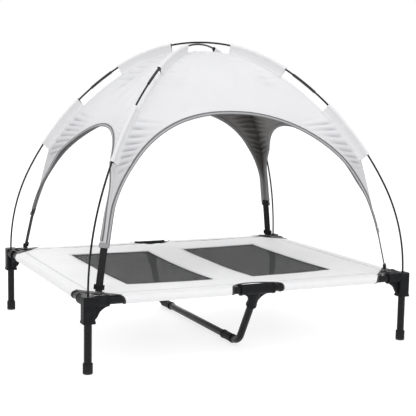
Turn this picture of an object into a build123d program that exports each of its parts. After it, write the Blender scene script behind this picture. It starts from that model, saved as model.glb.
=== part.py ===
"""Raised dog bed on a steel tube frame, with a lift-off domed shade canopy on two crossed poles.

Millimetres. The origin is on the floor, under the middle of the bed. +X runs along the long side
to the right, +Y towards the back and +Z up. Corners are fl, fr, bl, br: front or back, left or right.
"""
import os
from math import atan2, cos, degrees, hypot, pi, radians, sin

from build123d import *

os.makedirs("parts", exist_ok=True)

# ---- driving dimensions --------------------------------------------------------------------------

# bed plan, between leg axes, and the heights that set the frame
AXIS_LENGTH = 885.0
AXIS_WIDTH = 725.0
SOCKET_TOP = 185.0
HALF_L = AXIS_LENGTH / 2
HALF_W = AXIS_WIDTH / 2
HALF_DIAGONAL = hypot(HALF_L, HALF_W)

# steel tube, and the running clearance of a tube in a moulded bore
TUBE_R = 9.5
TUBE_WALL = 1.2
BORE_R = TUBE_R + 0.1

# moulded corner connector
BODY_SIDE = 29.0
BODY_HEIGHT = 64.0
BODY_BOTTOM = SOCKET_TOP - BODY_HEIGHT
LIP_SIDE = 31.5
LIP_HEIGHT = 6.0
ARM_R = 13.5
ARM_REACH = 50.0
RIM_R = 14.3
RIM_LENGTH = 5.0
WEB_THICKNESS = 8.0
RAIL_Z = SOCKET_TOP - ARM_R
RAIL_BORE_START = 9.8
RAIL_TUBE_START = 10.5
LEG_BORE_TOP = 157.0
LEG_TUBE_TOP = 152.0
POLE_SEAT = 159.0

# foot cap
CAP_R = 12.0
CAP_HEIGHT = 26.0
CAP_FLOOR = 4.0

# tee connector half way along the long rails, and the sloping support below it
TEE_REACH = 48.0
TEE_STOP = 7.0
BRANCH_LENGTH = 56.0
BRANCH_BORE_START = 17.0
CROSS_Z = 13.5
BEND_CORNER_Y = 267.0
BEND_R = 45.0
SUPPORT_TAIL_Y = 212.0
CROSS_TUBE_HALF = 207.0
COUPLER_R = 12.0
COUPLER_Y = (180.0, 236.0)
BRANCH_TILT = atan2(HALF_W - BEND_CORNER_Y, RAIL_Z - CROSS_Z)

# fabric deck with its tube sleeves, mesh windows and corner reinforcements
CLOTH = 1.5
SLEEVE_BORE_R = TUBE_R + 0.2
SLEEVE_R = TUBE_R + CLOTH
DECK_TOP = RAIL_Z + SLEEVE_R
SEAM_INSET = 22.0
SLEEVE_END = 74.0
TEE_CUT_R = 74.3
TEE_CUT_OFFSET = 38.6
TEE_GAP = 69.0
WINDOW_X = (57.0, 298.0)
WINDOW_Y = 232.0
WINDOW_LAP = 10.0
MESH = 1.0
PATCH = 1.4

# shade canopy poles: half of each pole is three tangent arcs, measured by the slope away from level
POLE_R = 2.5
POLE_SOCKET_R = 2.9
APEX = 789.0
CROSSING_STEP = 2.8
TOP_R = 440.0
TOP_ANGLE = 33.0
SHOULDER_ANGLE = 29.3
FERRULE_R = 3.75
FERRULE_HALF_ANGLE = 2.7
JOINT_ANGLE = {"a": 37.4, "b": 35.0}

# shade fabric below the poles
CANOPY_DROP = 21.0
SHADE = 1.2
SLEEVE_ANGLES = ((11.1, 32.8), (43.7, 55.8))
POLE_SLEEVE_R = 5.2
POLE_SLEEVE_BORE_R = 4.2
TAIL_START_ANGLE = 55.8
TAIL_END = (503.0, 290.0)
ARCH_FOOT_Z = 250.0
FRONT_ARCH = {"half": 378.0, "rise": 353.0, "power": 2.15}
SIDE_ARCH = {"half": 309.0, "rise": 313.0, "power": 2.0}

# hold-down straps
WEBBING_WIDTH = 20.0
WEBBING = 1.4
STRAP_TOP = (502.4, 289.6)
STRAP_FOOT = (526.0, 187.5)
SLIDER_START = 5.0
SLIDER_LENGTH = 12.0
SLIDER_BAR = 2.6
SLIDER_GAP = 0.4
SLIDER_DEPTH = 2.2
ANCHOR_RUN = (515.0, 541.0)

CORNERS = {"fl": (-1, -1), "fr": (1, -1), "bl": (-1, 1), "br": (1, 1)}


# ---- helpers -------------------------------------------------------------------------------------


def save(node, shape):
    """One STEP file for one node."""
    shape.label = node
    export_step(shape, f"parts/{node}.step")


def bar(start, end, radius):
    """A round bar between two points."""
    axis = Vector(*end) - Vector(*start)
    return extrude(Plane(origin=start, z_dir=axis) * Circle(radius), axis.length)


def tube(start, end, outer, inner):
    """A round tube between two points."""
    return bar(start, end, outer) - bar(start, end, inner)


def at_corner(piece, side_x, side_y):
    """Places a piece modelled for the front left corner, with its leg axis on the origin."""
    if side_x > 0:
        piece = piece.mirror(Plane.YZ)
    if side_y > 0:
        piece = piece.mirror(Plane.XZ)
    return Pos(side_x * HALF_L, side_y * HALF_W, 0) * piece


def arm_plane(side_x, side_y):
    """The upright plane from the middle of the bed to a corner: local x outwards, local y up."""
    out_x = side_x * HALF_L / HALF_DIAGONAL
    out_y = side_y * HALF_W / HALF_DIAGONAL
    return Plane(origin=(0, 0, 0), x_dir=(out_x, out_y, 0), z_dir=(out_y, -out_x, 0))


# ---- steel and plastic frame ---------------------------------------------------------------------


def corner_connector():
    """Three-way moulding: leg socket below, a rail arm each way and a pole socket on top."""
    post = Pos(0, 0, BODY_BOTTOM + BODY_HEIGHT / 2) * Box(BODY_SIDE, BODY_SIDE, BODY_HEIGHT)
    post = fillet(post.edges().filter_by(Axis.Z), 4.5)
    lip = Pos(0, 0, BODY_BOTTOM + LIP_HEIGHT / 2) * Box(LIP_SIDE, LIP_SIDE, LIP_HEIGHT)
    lip = fillet(lip.edges().filter_by(Axis.Z), 5.5)
    lip = chamfer(lip.faces().sort_by(Axis.Z)[-1].edges(), 1.2)
    arm = bar((0, 0, RAIL_Z), (ARM_REACH, 0, RAIL_Z), ARM_R)
    arm += bar((ARM_REACH - RIM_LENGTH, 0, RAIL_Z), (ARM_REACH, 0, RAIL_Z), RIM_R)
    web_edge = Spline(
        (ARM_REACH - 2, RAIL_Z - 13),
        (ARM_REACH - 11, RAIL_Z - 17),
        (BODY_SIDE / 2 + 13, BODY_BOTTOM + 24),
        (BODY_SIDE / 2 + 7, BODY_BOTTOM + 13),
        (BODY_SIDE / 2 - 1, BODY_BOTTOM + LIP_HEIGHT + 1),
    )
    web_root = (0, BODY_BOTTOM + LIP_HEIGHT + 1)
    web_back = Polyline(web_edge @ 1, web_root, (0, RAIL_Z), (ARM_REACH - 2, RAIL_Z))
    web_side = Line(web_back @ 1, web_edge @ 0)
    web = extrude(Plane.XZ * make_face([web_edge, web_back, web_side]), WEB_THICKNESS / 2, both=True)
    arm += web
    connector = post + lip + arm + Rot(0, 0, 90) * arm
    rail_bore = bar((RAIL_BORE_START, 0, RAIL_Z), (ARM_REACH + 1, 0, RAIL_Z), BORE_R)
    connector -= rail_bore + Rot(0, 0, 90) * rail_bore
    connector -= bar((0, 0, BODY_BOTTOM - 1), (0, 0, LEG_BORE_TOP), BORE_R)
    connector -= bar((0, 0, POLE_SEAT), (0, 0, SOCKET_TOP + 1), POLE_SOCKET_R)
    return connector


def leg_tube():
    """Steel leg, from the floor of its cap up into the connector."""
    return tube((0, 0, CAP_FLOOR), (0, 0, LEG_TUBE_TOP), TUBE_R, TUBE_R - TUBE_WALL)


def foot_cap():
    """Pushed-on plastic foot with a rounded tread."""
    cap = bar((0, 0, 0), (0, 0, CAP_HEIGHT), CAP_R)
    cap = fillet(cap.edges().sort_by(Axis.Z)[0], 2.5)
    cap = chamfer(cap.edges().sort_by(Axis.Z)[-1], 0.8)
    return cap - bar((0, 0, CAP_FLOOR), (0, 0, CAP_HEIGHT + 1), BORE_R)


def rail(start, end):
    """Steel rail tube between two moulded bores."""
    return tube(start, end, TUBE_R, TUBE_R - TUBE_WALL)


def tee_connector():
    """Tee moulding of the front rail: two arms, and a branch that slopes down under the bed."""
    centre = (0, -HALF_W, RAIL_Z)
    branch_plane = Plane(origin=centre, x_dir=(1, 0, 0), z_dir=(0, cos(BRANCH_TILT), sin(BRANCH_TILT)))
    arms = bar((-TEE_REACH, -HALF_W, RAIL_Z), (TEE_REACH, -HALF_W, RAIL_Z), ARM_R)
    branch_start = branch_plane.from_local_coords((0, 0, 0))
    branch_end = branch_plane.from_local_coords((0, BRANCH_LENGTH, 0))
    collar_start = branch_plane.from_local_coords((0, BRANCH_LENGTH - RIM_LENGTH, 0))
    branch = bar(branch_start, branch_end, ARM_R - 0.6)
    branch += bar(collar_start, branch_end, RIM_R - 0.4)
    for side in (-1, 1):
        inner = side * (TEE_REACH - RIM_LENGTH)
        arms += bar((inner, -HALF_W, RAIL_Z), (side * TEE_REACH, -HALF_W, RAIL_Z), RIM_R)
    web_left = ThreePointArc((-TEE_REACH + 3, ARM_R - 2), (-21, 23), (-ARM_R + 1, BRANCH_LENGTH - 8))
    web_foot = Line(web_left @ 1, (ARM_R - 1, BRANCH_LENGTH - 8))
    web_right = ThreePointArc(web_foot @ 1, (21, 23), (TEE_REACH - 3, ARM_R - 2))
    web_top = Polyline(web_right @ 1, (TEE_REACH - 3, 0), (-TEE_REACH + 3, 0), web_left @ 0)
    web_face = make_face([web_left, web_foot, web_right, web_top])
    web = extrude(branch_plane * web_face, WEB_THICKNESS / 2, both=True)
    tee = arms + branch + web
    for side in (-1, 1):
        tee -= bar((side * TEE_STOP, -HALF_W, RAIL_Z), (side * (TEE_REACH + 1), -HALF_W, RAIL_Z), BORE_R)
    bore_start = branch_plane.from_local_coords((0, BRANCH_BORE_START, 0))
    bore_end = branch_plane.from_local_coords((0, BRANCH_LENGTH + 1, 0))
    return tee - bar(bore_start, bore_end, BORE_R)


def support_leg():
    """Bent steel tube: down and inwards from the front tee, then level along the floor."""
    top_reach = BRANCH_BORE_START + 1.5
    top = (0, -HALF_W + top_reach * sin(BRANCH_TILT), RAIL_Z - top_reach * cos(BRANCH_TILT))
    path = FilletPolyline(top, (0, -BEND_CORNER_Y, CROSS_Z), (0, -SUPPORT_TAIL_Y, CROSS_Z), radius=BEND_R)
    mouth = Plane(origin=top, z_dir=path % 0)
    return sweep(mouth * Circle(TUBE_R), path) - sweep(mouth * Circle(TUBE_R - TUBE_WALL), path)


def support_coupler():
    """Plastic sleeve that joins the bent support to the level cross tube, with a rim at each end."""
    near, far = COUPLER_Y
    coupler = bar((0, -far, CROSS_Z), (0, -near, CROSS_Z), COUPLER_R - 0.8)
    for start in (-far, -near - RIM_LENGTH):
        coupler += bar((0, start, CROSS_Z), (0, start + RIM_LENGTH, CROSS_Z), COUPLER_R)
    return coupler - bar((0, -far - 1, CROSS_Z), (0, -near + 1, CROSS_Z), BORE_R)


# ---- fabric deck ---------------------------------------------------------------------------------


def deck_panel():
    """Flat cloth panel between the sleeves, open at the corners, the tees and the two windows."""
    outline = Rectangle(2 * (HALF_L - SEAM_INSET), 2 * (HALF_W - SEAM_INSET))
    for side_x, side_y in CORNERS.values():
        corner = Vector(side_x * HALF_L, side_y * HALF_W)
        along_x = corner - Vector(side_x * SLEEVE_END, 0)
        along_y = corner - Vector(0, side_y * (SLEEVE_END + 6))
        outline -= make_face(Polyline(corner, along_x, along_y, close=True))
    for side_y in (-1, 1):
        outline -= Pos(0, side_y * (HALF_W + TEE_CUT_OFFSET)) * Circle(TEE_CUT_R)
    for side_x in (-1, 1):
        middle = side_x * sum(WINDOW_X) / 2
        outline -= Pos(middle, 0) * Rectangle(WINDOW_X[1] - WINDOW_X[0], 2 * WINDOW_Y)
    return extrude(Pos(0, 0, DECK_TOP - CLOTH) * outline, CLOTH)


def sleeve_profile():
    """Section of a tube sleeve: a loop round the tube and a flap on top that points to local +x."""
    loop = Circle(SLEEVE_R) + Pos(SEAM_INSET / 2, SLEEVE_R - CLOTH / 2) * Rectangle(SEAM_INSET, CLOTH)
    return loop - Circle(SLEEVE_BORE_R)


def long_sleeve():
    """The front rail's sleeve, in two runs with a gap for the tee."""
    run = HALF_L - SLEEVE_END - TEE_GAP
    runs = []
    for start in (-HALF_L + SLEEVE_END, TEE_GAP):
        section = Plane(origin=(start, -HALF_W, RAIL_Z), x_dir=(0, 1, 0), z_dir=(1, 0, 0))
        runs.append(extrude(section * sleeve_profile(), run))
    return runs[0] + runs[1]


def end_sleeve():
    """The left rail's sleeve, in one run."""
    run = 2 * (HALF_W - SLEEVE_END - 6)
    section = Plane(origin=(-HALF_L, run / 2, RAIL_Z), x_dir=(1, 0, 0), z_dir=(0, -1, 0))
    return extrude(section * sleeve_profile(), run)


def mesh_window():
    """Left mesh panel, lapped under the edge of its opening."""
    width = WINDOW_X[1] - WINDOW_X[0] + 2 * WINDOW_LAP
    middle = -sum(WINDOW_X) / 2
    under = DECK_TOP - CLOTH - MESH / 2
    return Pos(middle, 0, under) * Box(width, 2 * (WINDOW_Y + WINDOW_LAP), MESH)


def corner_patch():
    """Black reinforcement across the front left corner, cut back round the connector's arms."""
    clear = ARM_R + 2
    tip = ARM_REACH + 3
    outline = Polyline(
        (tip, 0),
        (SLEEVE_END + 8, 0),
        (0, SLEEVE_END + 18),
        (0, tip),
        (clear, tip),
        (clear, clear),
        (tip, clear),
        close=True,
    )
    return extrude(Pos(0, 0, DECK_TOP) * make_face(outline), PATCH)


# ---- canopy poles --------------------------------------------------------------------------------


class Bow:
    """Half of a bent pole in its upright plane: three tangent arcs, from level at the crossing to
    upright at the socket. A place on it is named by the slope there, in degrees."""

    def __init__(self, apex):
        first = radians(TOP_ANGLE)
        second = radians(TOP_ANGLE + SHOULDER_ANGLE)
        run_left = HALF_DIAGONAL - TOP_R * sin(first)
        drop_left = apex - SOCKET_TOP - TOP_R * (1 - cos(first))
        run_2, run_3 = sin(second) - sin(first), 1 - sin(second)
        drop_2, drop_3 = cos(first) - cos(second), cos(second)
        scale = run_2 * drop_3 - run_3 * drop_2
        shoulder_r = (run_left * drop_3 - run_3 * drop_left) / scale
        skirt_r = (run_2 * drop_left - run_left * drop_2) / scale
        self.limits = (0, TOP_ANGLE, TOP_ANGLE + SHOULDER_ANGLE, 90)
        self.radii = (TOP_R, shoulder_r, skirt_r)
        centre = Vector(0, apex - TOP_R)
        self.centres = [centre]
        for before, after, turn in ((TOP_R, shoulder_r, first), (shoulder_r, skirt_r, second)):
            centre = centre + Vector(sin(turn), cos(turn)) * (before - after)
            self.centres.append(centre)

    def stretch(self, slope):
        """Number of the arc that holds this slope."""
        return 0 if slope <= self.limits[1] else 1 if slope <= self.limits[2] else 2

    def point(self, slope, drop=0.0):
        """Point at this slope, or that far inside the bow."""
        number = self.stretch(slope)
        turn = radians(slope)
        return self.centres[number] + Vector(sin(turn), cos(turn)) * (self.radii[number] - drop)

    def edges(self, start, end):
        """The arcs between two slopes."""
        found = []
        for number in range(3):
            low = max(start, self.limits[number])
            high = min(end, self.limits[number + 1])
            if high - low > 0.01:
                found.append(CenterArc(self.centres[number], self.radii[number], 90 - low, low - high))
        return found


BOWS = {"a": Bow(APEX + CROSSING_STEP), "b": Bow(APEX - CROSSING_STEP)}
ARM_POLE = {"bl": "a", "fr": "a", "fl": "b", "br": "b"}


def along(plane, edges, radius, bore=0.0):
    """A round section carried along a chain of edges that are drawn in a plane."""
    path = plane * Wire(edges)
    mouth = Plane(origin=path @ 0, z_dir=path % 0)
    shape = sweep(mouth * Circle(radius), path)
    if bore:
        shape -= sweep(mouth * Circle(bore), path)
    return shape


def pole_end(corner):
    """Outer section of a pole, from its ferrule down into the socket."""
    pole = ARM_POLE[corner]
    bow = BOWS[pole]
    foot = Vector(HALF_DIAGONAL, POLE_SEAT + 0.3)
    edges = bow.edges(JOINT_ANGLE[pole], 90) + [Line(bow.point(90), foot)]
    return along(arm_plane(*CORNERS[corner]), edges, POLE_R)


def pole_middle(pole):
    """Middle section of a pole, over the crossing from ferrule to ferrule."""
    corner = {"a": "fr", "b": "br"}[pole]
    bow = BOWS[pole]
    joint = JOINT_ANGLE[pole]
    right = bow.edges(0, joint)
    left = [edge.mirror(Plane.YZ) for edge in right]
    return along(arm_plane(*CORNERS[corner]), left + right, POLE_R)


def pole_ferrules(pole):
    """The two metal tubes that join a pole's three sections."""
    joint = JOINT_ANGLE[pole]
    arms = [corner for corner in CORNERS if ARM_POLE[corner] == pole]
    tubes = []
    for corner in arms:
        edges = BOWS[pole].edges(joint - FERRULE_HALF_ANGLE, joint + FERRULE_HALF_ANGLE)
        tubes.append(along(arm_plane(*CORNERS[corner]), edges, FERRULE_R, POLE_R + 0.05))
    return Compound(children=tubes)


# ---- shade canopy --------------------------------------------------------------------------------


def shade_line(scale, drop):
    """Shade section from crown to tail, drawn in an upright plane: a curve and a straight tail."""
    bow = Bow(APEX)
    slopes = [TAIL_START_ANGLE * step / 7 for step in range(8)]
    spots = [bow.point(slope, CANOPY_DROP + drop) for slope in slopes]
    curve = Spline([(spot.X * scale, spot.Y) for spot in spots])
    tail = Line(curve @ 1, ((TAIL_END[0] - drop) * scale, TAIL_END[1]))
    return [curve, tail]


def arch_cutter(arch):
    """Outline of an open arch, drawn in an upright plane: rounder than an ellipse where power is over 2."""
    count = 16
    spots = []
    for step in range(count + 1):
        turn = pi * step / count
        across = abs(cos(turn)) ** (2 / arch["power"]) * arch["half"]
        up = sin(turn) ** (2 / arch["power"]) * arch["rise"] if 0 < step < count else 0
        spots.append((across if cos(turn) > 0 else -across, ARCH_FOOT_Z + up))
    crown = Spline(spots)
    low = ARCH_FOOT_Z - 60
    sill = Polyline(crown @ 1, (-arch["half"], low), (arch["half"], low), crown @ 0)
    return make_face([crown, sill])


def shade_panel(side):
    """One of the four shade panels, mitred along the poles and open at its arch."""
    if side in ("front", "back"):
        half_along, half_out, arch = HALF_L, HALF_W, FRONT_ARCH
        section_plane = Plane(origin=(0, 0, 0), x_dir=(0, -1, 0), z_dir=(-1, 0, 0))
        arch_plane = Plane(origin=(0, 0, 0), x_dir=(1, 0, 0), z_dir=(0, -1, 0))
        corners = [(0, 0), (-HALF_L, -HALF_W), (HALF_L, -HALF_W)]
    else:
        half_along, half_out, arch = HALF_W, HALF_L, SIDE_ARCH
        section_plane = Plane(origin=(0, 0, 0), x_dir=(-1, 0, 0), z_dir=(0, 1, 0))
        arch_plane = Plane(origin=(0, 0, 0), x_dir=(0, 1, 0), z_dir=(1, 0, 0)).rotated((0, 0, 180))
        corners = [(0, 0), (-HALF_L, -HALF_W), (-HALF_L, HALF_W)]
    scale = half_out / HALF_DIAGONAL
    outer = shade_line(scale, 0)
    inner = shade_line(scale, SHADE)
    crown = Line(outer[0] @ 0, inner[0] @ 0)
    hem = Line(outer[1] @ 1, inner[1] @ 1)
    section = make_face([*outer, hem, *inner, crown])
    cloth = extrude(section_plane * section, half_along, both=True)
    mitre = extrude(make_face(Polyline(*corners, close=True)), APEX + 10)
    opening = extrude(arch_plane * arch_cutter(arch), half_out + 10)
    piece = (cloth & mitre) - opening
    if side == "back":
        piece = piece.mirror(Plane.XZ)
    if side == "right":
        piece = piece.mirror(Plane.YZ)
    return piece


def pole_sleeves():
    """Eight fin-like fabric sleeves that hang the shade under the poles, two on each arm."""
    fins = []
    for corner, sides in CORNERS.items():
        plane = arm_plane(*sides)
        bow = BOWS[ARM_POLE[corner]]
        for start, end in SLEEVE_ANGLES:
            turn = radians(start)
            root = CANOPY_DROP - CROSSING_STEP - 0.6
            mouth = Plane(
                origin=plane.from_local_coords(bow.point(start)),
                x_dir=plane.z_dir,
                z_dir=plane.from_local_coords((cos(turn), -sin(turn), 0)),
            )
            edge = Polyline((-POLE_SLEEVE_R, 0), (-1.2, root), (1.2, root), (POLE_SLEEVE_R, 0), close=True)
            flap = make_face(edge) + Circle(POLE_SLEEVE_R)
            section = mouth * (flap - Circle(POLE_SLEEVE_BORE_R))
            fins.append(sweep(section, plane * Wire(bow.edges(start, end))))
    return Compound(children=fins)


# ---- hold-down straps ----------------------------------------------------------------------------


def strap_plane():
    """In an arm's upright plane: local x away from the bed's middle, local y up along the strap."""
    run = Vector(*STRAP_TOP) - Vector(*STRAP_FOOT)
    return Pos(*STRAP_FOOT, 0) * Rot(0, 0, degrees(atan2(run.Y, run.X)) - 90), run.length


def strap_face(across, upward):
    """A rectangle beside the webbing, seen edge on: across its thickness and up its length."""
    frame, _ = strap_plane()
    middle = Pos(sum(across) / 2, sum(upward) / 2)
    return frame * middle * Rectangle(across[1] - across[0], upward[1] - upward[0])


def canopy_strap(corner):
    """Webbing from the end of the shade tail down to the deck."""
    _, length = strap_plane()
    outline = strap_face((-WEBBING / 2, WEBBING / 2), (0, length))
    return extrude(arm_plane(*CORNERS[corner]) * outline, WEBBING_WIDTH / 2, both=True)


def strap_slider(corner):
    """Three-bar slider: one bar in front of the webbing and two behind it."""
    plane = arm_plane(*CORNERS[corner])
    skin = WEBBING / 2 + SLIDER_GAP
    inside = WEBBING_WIDTH / 2 + SLIDER_GAP
    outside = inside + SLIDER_BAR
    start, end = SLIDER_START, SLIDER_START + SLIDER_LENGTH
    centre = (start + end) / 2
    bars = [
        ((skin, skin + SLIDER_DEPTH), (centre - SLIDER_BAR / 2, centre + SLIDER_BAR / 2)),
        ((-skin - SLIDER_DEPTH, -skin), (start, start + SLIDER_BAR)),
        ((-skin - SLIDER_DEPTH, -skin), (end - SLIDER_BAR, end)),
    ]
    frame_across = (-skin - SLIDER_DEPTH, skin + SLIDER_DEPTH)
    outline = strap_face(frame_across, (start, end))
    slider = extrude(plane * outline, outside, both=True) - extrude(plane * outline, inside, both=True)
    for across, upward in bars:
        outline = strap_face(across, upward)
        slider += extrude(plane * outline, inside + SLIDER_BAR / 2, both=True)
    return slider


def strap_anchors():
    """Folded webbing tabs that lie on the corner patches under the straps."""
    tabs = []
    low = DECK_TOP + PATCH + 0.3
    for sides in CORNERS.values():
        middle = Pos(sum(ANCHOR_RUN) / 2, low + WEBBING / 2)
        outline = middle * Rectangle(ANCHOR_RUN[1] - ANCHOR_RUN[0], WEBBING)
        tabs.append(extrude(arm_plane(*sides) * outline, WEBBING_WIDTH / 2, both=True))
    return Compound(children=tabs)


# ---- write every node ----------------------------------------------------------------------------

for corner, (side_x, side_y) in CORNERS.items():
    save(f"corner_connector_{corner}", at_corner(corner_connector(), side_x, side_y))
    save(f"leg_tube_{corner}", at_corner(leg_tube(), side_x, side_y))
    save(f"foot_cap_{corner}", at_corner(foot_cap(), side_x, side_y))
    save(f"corner_patch_{corner}", at_corner(corner_patch(), side_x, side_y))
    save(f"pole_end_{corner}", pole_end(corner))
    save(f"canopy_strap_{corner}", canopy_strap(corner))
    save(f"strap_slider_{corner}", strap_slider(corner))

outer_x = HALF_L - RAIL_TUBE_START
outer_y = HALF_W - RAIL_TUBE_START
for edge, side_y in (("front", -1), ("back", 1)):
    for hand, side_x in (("left", -1), ("right", 1)):
        start = (side_x * (TEE_STOP + 1), side_y * HALF_W, RAIL_Z)
        end = (side_x * outer_x, side_y * HALF_W, RAIL_Z)
        save(f"{edge}_rail_{hand}", rail(start, end))
for hand, side_x in (("left", -1), ("right", 1)):
    x = side_x * HALF_L
    save(f"end_rail_{hand}", rail((x, -outer_y, RAIL_Z), (x, outer_y, RAIL_Z)))

for name, shape in (
    ("tee_connector", tee_connector()),
    ("support_leg", support_leg()),
    ("support_coupler", support_coupler()),
    ("long_sleeve", long_sleeve()),
):
    save(f"{name}_front", shape)
    save(f"{name}_back", shape.mirror(Plane.XZ))
save("support_cross_tube", rail((0, -CROSS_TUBE_HALF, CROSS_Z), (0, CROSS_TUBE_HALF, CROSS_Z)))

save("deck_panel", deck_panel())
for name, shape in (("end_sleeve", end_sleeve()), ("mesh_window", mesh_window())):
    save(f"{name}_left", shape)
    save(f"{name}_right", shape.mirror(Plane.YZ))

for pole in ("a", "b"):
    save(f"pole_middle_{pole}", pole_middle(pole))
    save(f"pole_ferrules_{pole}", pole_ferrules(pole))
for side in ("front", "back", "left", "right"):
    save(f"shade_panel_{side}", shade_panel(side))
save("pole_sleeves", pole_sleeves())
save("strap_anchors", strap_anchors())
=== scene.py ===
"""Raised dog bed on a steel tube frame, with a lift-off domed shade on two crossed poles.

Metres. The origin is on the floor under the middle of the bed: +X to the right along the long side,
+Y to the back, +Z up. The sections follow the bed as it is put together.
"""
from math import cos, hypot, pi, radians, sin, sqrt

import bmesh
import bpy
import numpy as np
from mathutils import Matrix, Vector


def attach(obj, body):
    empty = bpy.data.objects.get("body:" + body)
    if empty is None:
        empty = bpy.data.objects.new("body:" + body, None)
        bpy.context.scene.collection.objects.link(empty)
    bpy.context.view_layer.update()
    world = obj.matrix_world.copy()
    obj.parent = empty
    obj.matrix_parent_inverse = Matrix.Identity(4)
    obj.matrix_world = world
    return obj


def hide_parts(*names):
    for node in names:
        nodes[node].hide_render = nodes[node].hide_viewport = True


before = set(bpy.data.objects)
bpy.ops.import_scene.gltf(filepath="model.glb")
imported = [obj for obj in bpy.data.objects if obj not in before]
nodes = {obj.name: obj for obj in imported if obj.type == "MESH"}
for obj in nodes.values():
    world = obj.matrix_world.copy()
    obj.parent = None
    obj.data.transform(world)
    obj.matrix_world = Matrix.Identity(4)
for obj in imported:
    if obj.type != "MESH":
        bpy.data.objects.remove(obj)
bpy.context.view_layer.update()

# ---- Studio --------------------------------------------------------------------------------------
# The bed stands on a pale, partly self-lit floor, seen from low down in front of its left corner.
# The pale surround is a little dimmer overhead. Three soft lights hang above, before and behind it.


def add_object(name, data):
    """An object in the scene for a camera, lamp or mesh."""
    made = bpy.data.objects.new(name, data)
    bpy.context.scene.collection.objects.link(made)
    return made


azimuth, elevation, roll = radians(-25.14), radians(7.04), radians(1.02)
camera_distance = 2.838
camera_target = Vector((0.031, 0.0, 0.331))
backwards = Vector((sin(azimuth) * cos(elevation), -cos(azimuth) * cos(elevation), sin(elevation)))
level_right = Vector((cos(azimuth), sin(azimuth), 0))
level_up = backwards.cross(level_right)
camera_right = level_right * cos(roll) + level_up * sin(roll)
camera_up = level_up * cos(roll) - level_right * sin(roll)
camera = add_object("camera", bpy.data.cameras.new("camera"))
camera.data.lens = 86.97
camera.data.sensor_width = 36
camera.matrix_world = Matrix((camera_right, camera_up, backwards)).transposed().to_4x4()
camera.location = camera_target + backwards * camera_distance
bpy.context.scene.camera = camera
bpy.context.scene.view_settings.view_transform = "Standard"

world = bpy.data.worlds.new("surround")
world.use_nodes = True
surround = world.node_tree.nodes["Background"]
surround.inputs["Color"].default_value = (1.0, 1.0, 1.0, 1)
bpy.context.scene.world = world


def soft_light(name, place, aim, size, power):
    """A square soft light at a place, turned towards a point."""
    lamp = bpy.data.lights.new(name, "AREA")
    lamp.size = size
    lamp.energy = power
    holder = add_object(name, lamp)
    holder.matrix_world = (Vector(place) - Vector(aim)).to_track_quat("Z", "Y").to_matrix().to_4x4()
    holder.location = place
    holder.visible_camera = False


soft_light("overhead_light", (-0.7, -1.1, 3.1), (0, 0, 0.3), 2.0, 28)
soft_light("front_light", (-0.3, -3.0, 1.9), (0, 0, 0.2), 1.6, 8)
soft_light("back_light", (0.5, 2.7, 1.7), (0, 0, 0.2), 1.6, 24)


def join(tree, source, target):
    """Links two sockets of a node tree."""
    tree.links.new(source, target)


def add_node(tree, kind, values=None, **settings):
    """A node with its settings, and with a value or a link for each input named."""
    made = tree.nodes.new(kind)
    for key, value in settings.items():
        setattr(made, key, value)
    for socket, value in (values or {}).items():
        if isinstance(value, bpy.types.NodeSocket):
            join(tree, value, made.inputs[socket])
        else:
            made.inputs[socket].default_value = value
    return made


def texture_place(tree, kind="Object"):
    """Where each point lies, for a pattern."""
    return add_node(tree, "ShaderNodeTexCoord").outputs[kind]


def part_of(tree, vector, axis):
    """One axis of a vector."""
    return add_node(tree, "ShaderNodeSeparateXYZ", {0: vector}).outputs[axis]


def respan(tree, value, low, high, start, end, **settings):
    """A value that runs from low to high, made to run from start to end."""
    spans = {0: value, 1: low, 2: high, 3: start, 4: end}
    return add_node(tree, "ShaderNodeMapRange", spans, **settings).outputs[0]


def noise(tree, place, **values):
    """Noise over a place, as a value."""
    return add_node(tree, "ShaderNodeTexNoise", {"Vector": place, **values}).outputs["Fac"]


def new_material(name, colour, roughness, **sockets):
    """A Principled material with its even values set on the shader's own sockets."""
    material = bpy.data.materials.new(name)
    material.use_nodes = True
    shader = material.node_tree.nodes["Principled BSDF"]
    shader.inputs["Base Color"].default_value = (*colour, 1)
    shader.inputs["Roughness"].default_value = roughness
    for socket, value in sockets.items():
        shader.inputs[socket.replace("_", " ")].default_value = value
    return material, material.node_tree, shader


skyward = part_of(world.node_tree, texture_place(world.node_tree, "Generated"), "Z")
join(world.node_tree, respan(world.node_tree, skyward, 0.14, 0.6, 1.0, 0.86), surround.inputs["Strength"])

floor_material, floor_tree, floor_shader = new_material(
    "studio_floor", (0.34, 0.34, 0.34), 0.6, Emission_Color=(1, 1, 1, 1), Emission_Strength=0.74
)
floor_cloud = noise(floor_tree, texture_place(floor_tree), Scale=3.0, Detail=3.0)
join(floor_tree, respan(floor_tree, floor_cloud, 0, 1, 0.55, 0.65), floor_shader.inputs["Roughness"])
floor_mesh = bpy.data.meshes.new("studio_floor")
reach = 14.0
floor_mesh.from_pydata(
    [(-reach, -reach, 0), (reach, -reach, 0), (reach, reach, 0), (-reach, reach, 0)], [], [(0, 1, 2, 3)]
)
floor_mesh.materials.append(floor_material)
floor = add_object("studio_floor", floor_mesh)

# ---- Steel tubes ---------------------------------------------------------------------------------
# Legs, rails and the bent support are 19 mm steel tube, powder coated satin black. The coat has a
# fine orange-peel skin, with faint paler rub marks scattered over it.

HALF_L = 0.4425
HALF_W = 0.3625
RAIL_HEIGHT = 0.1715
SKIN_RELIEF = 0.0003


def new_group(name, inputs, outputs):
    """A shader node group with float inputs, given as name: value, and named float outputs."""
    group = bpy.data.node_groups.new(name, "ShaderNodeTree")
    for socket, value in inputs.items():
        made = group.interface.new_socket(socket, in_out="INPUT", socket_type="NodeSocketFloat")
        made.default_value = value
    for socket in outputs:
        group.interface.new_socket(socket, in_out="OUTPUT", socket_type="NodeSocketFloat")
    return group, group.nodes.new("NodeGroupInput"), group.nodes.new("NodeGroupOutput")


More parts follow.
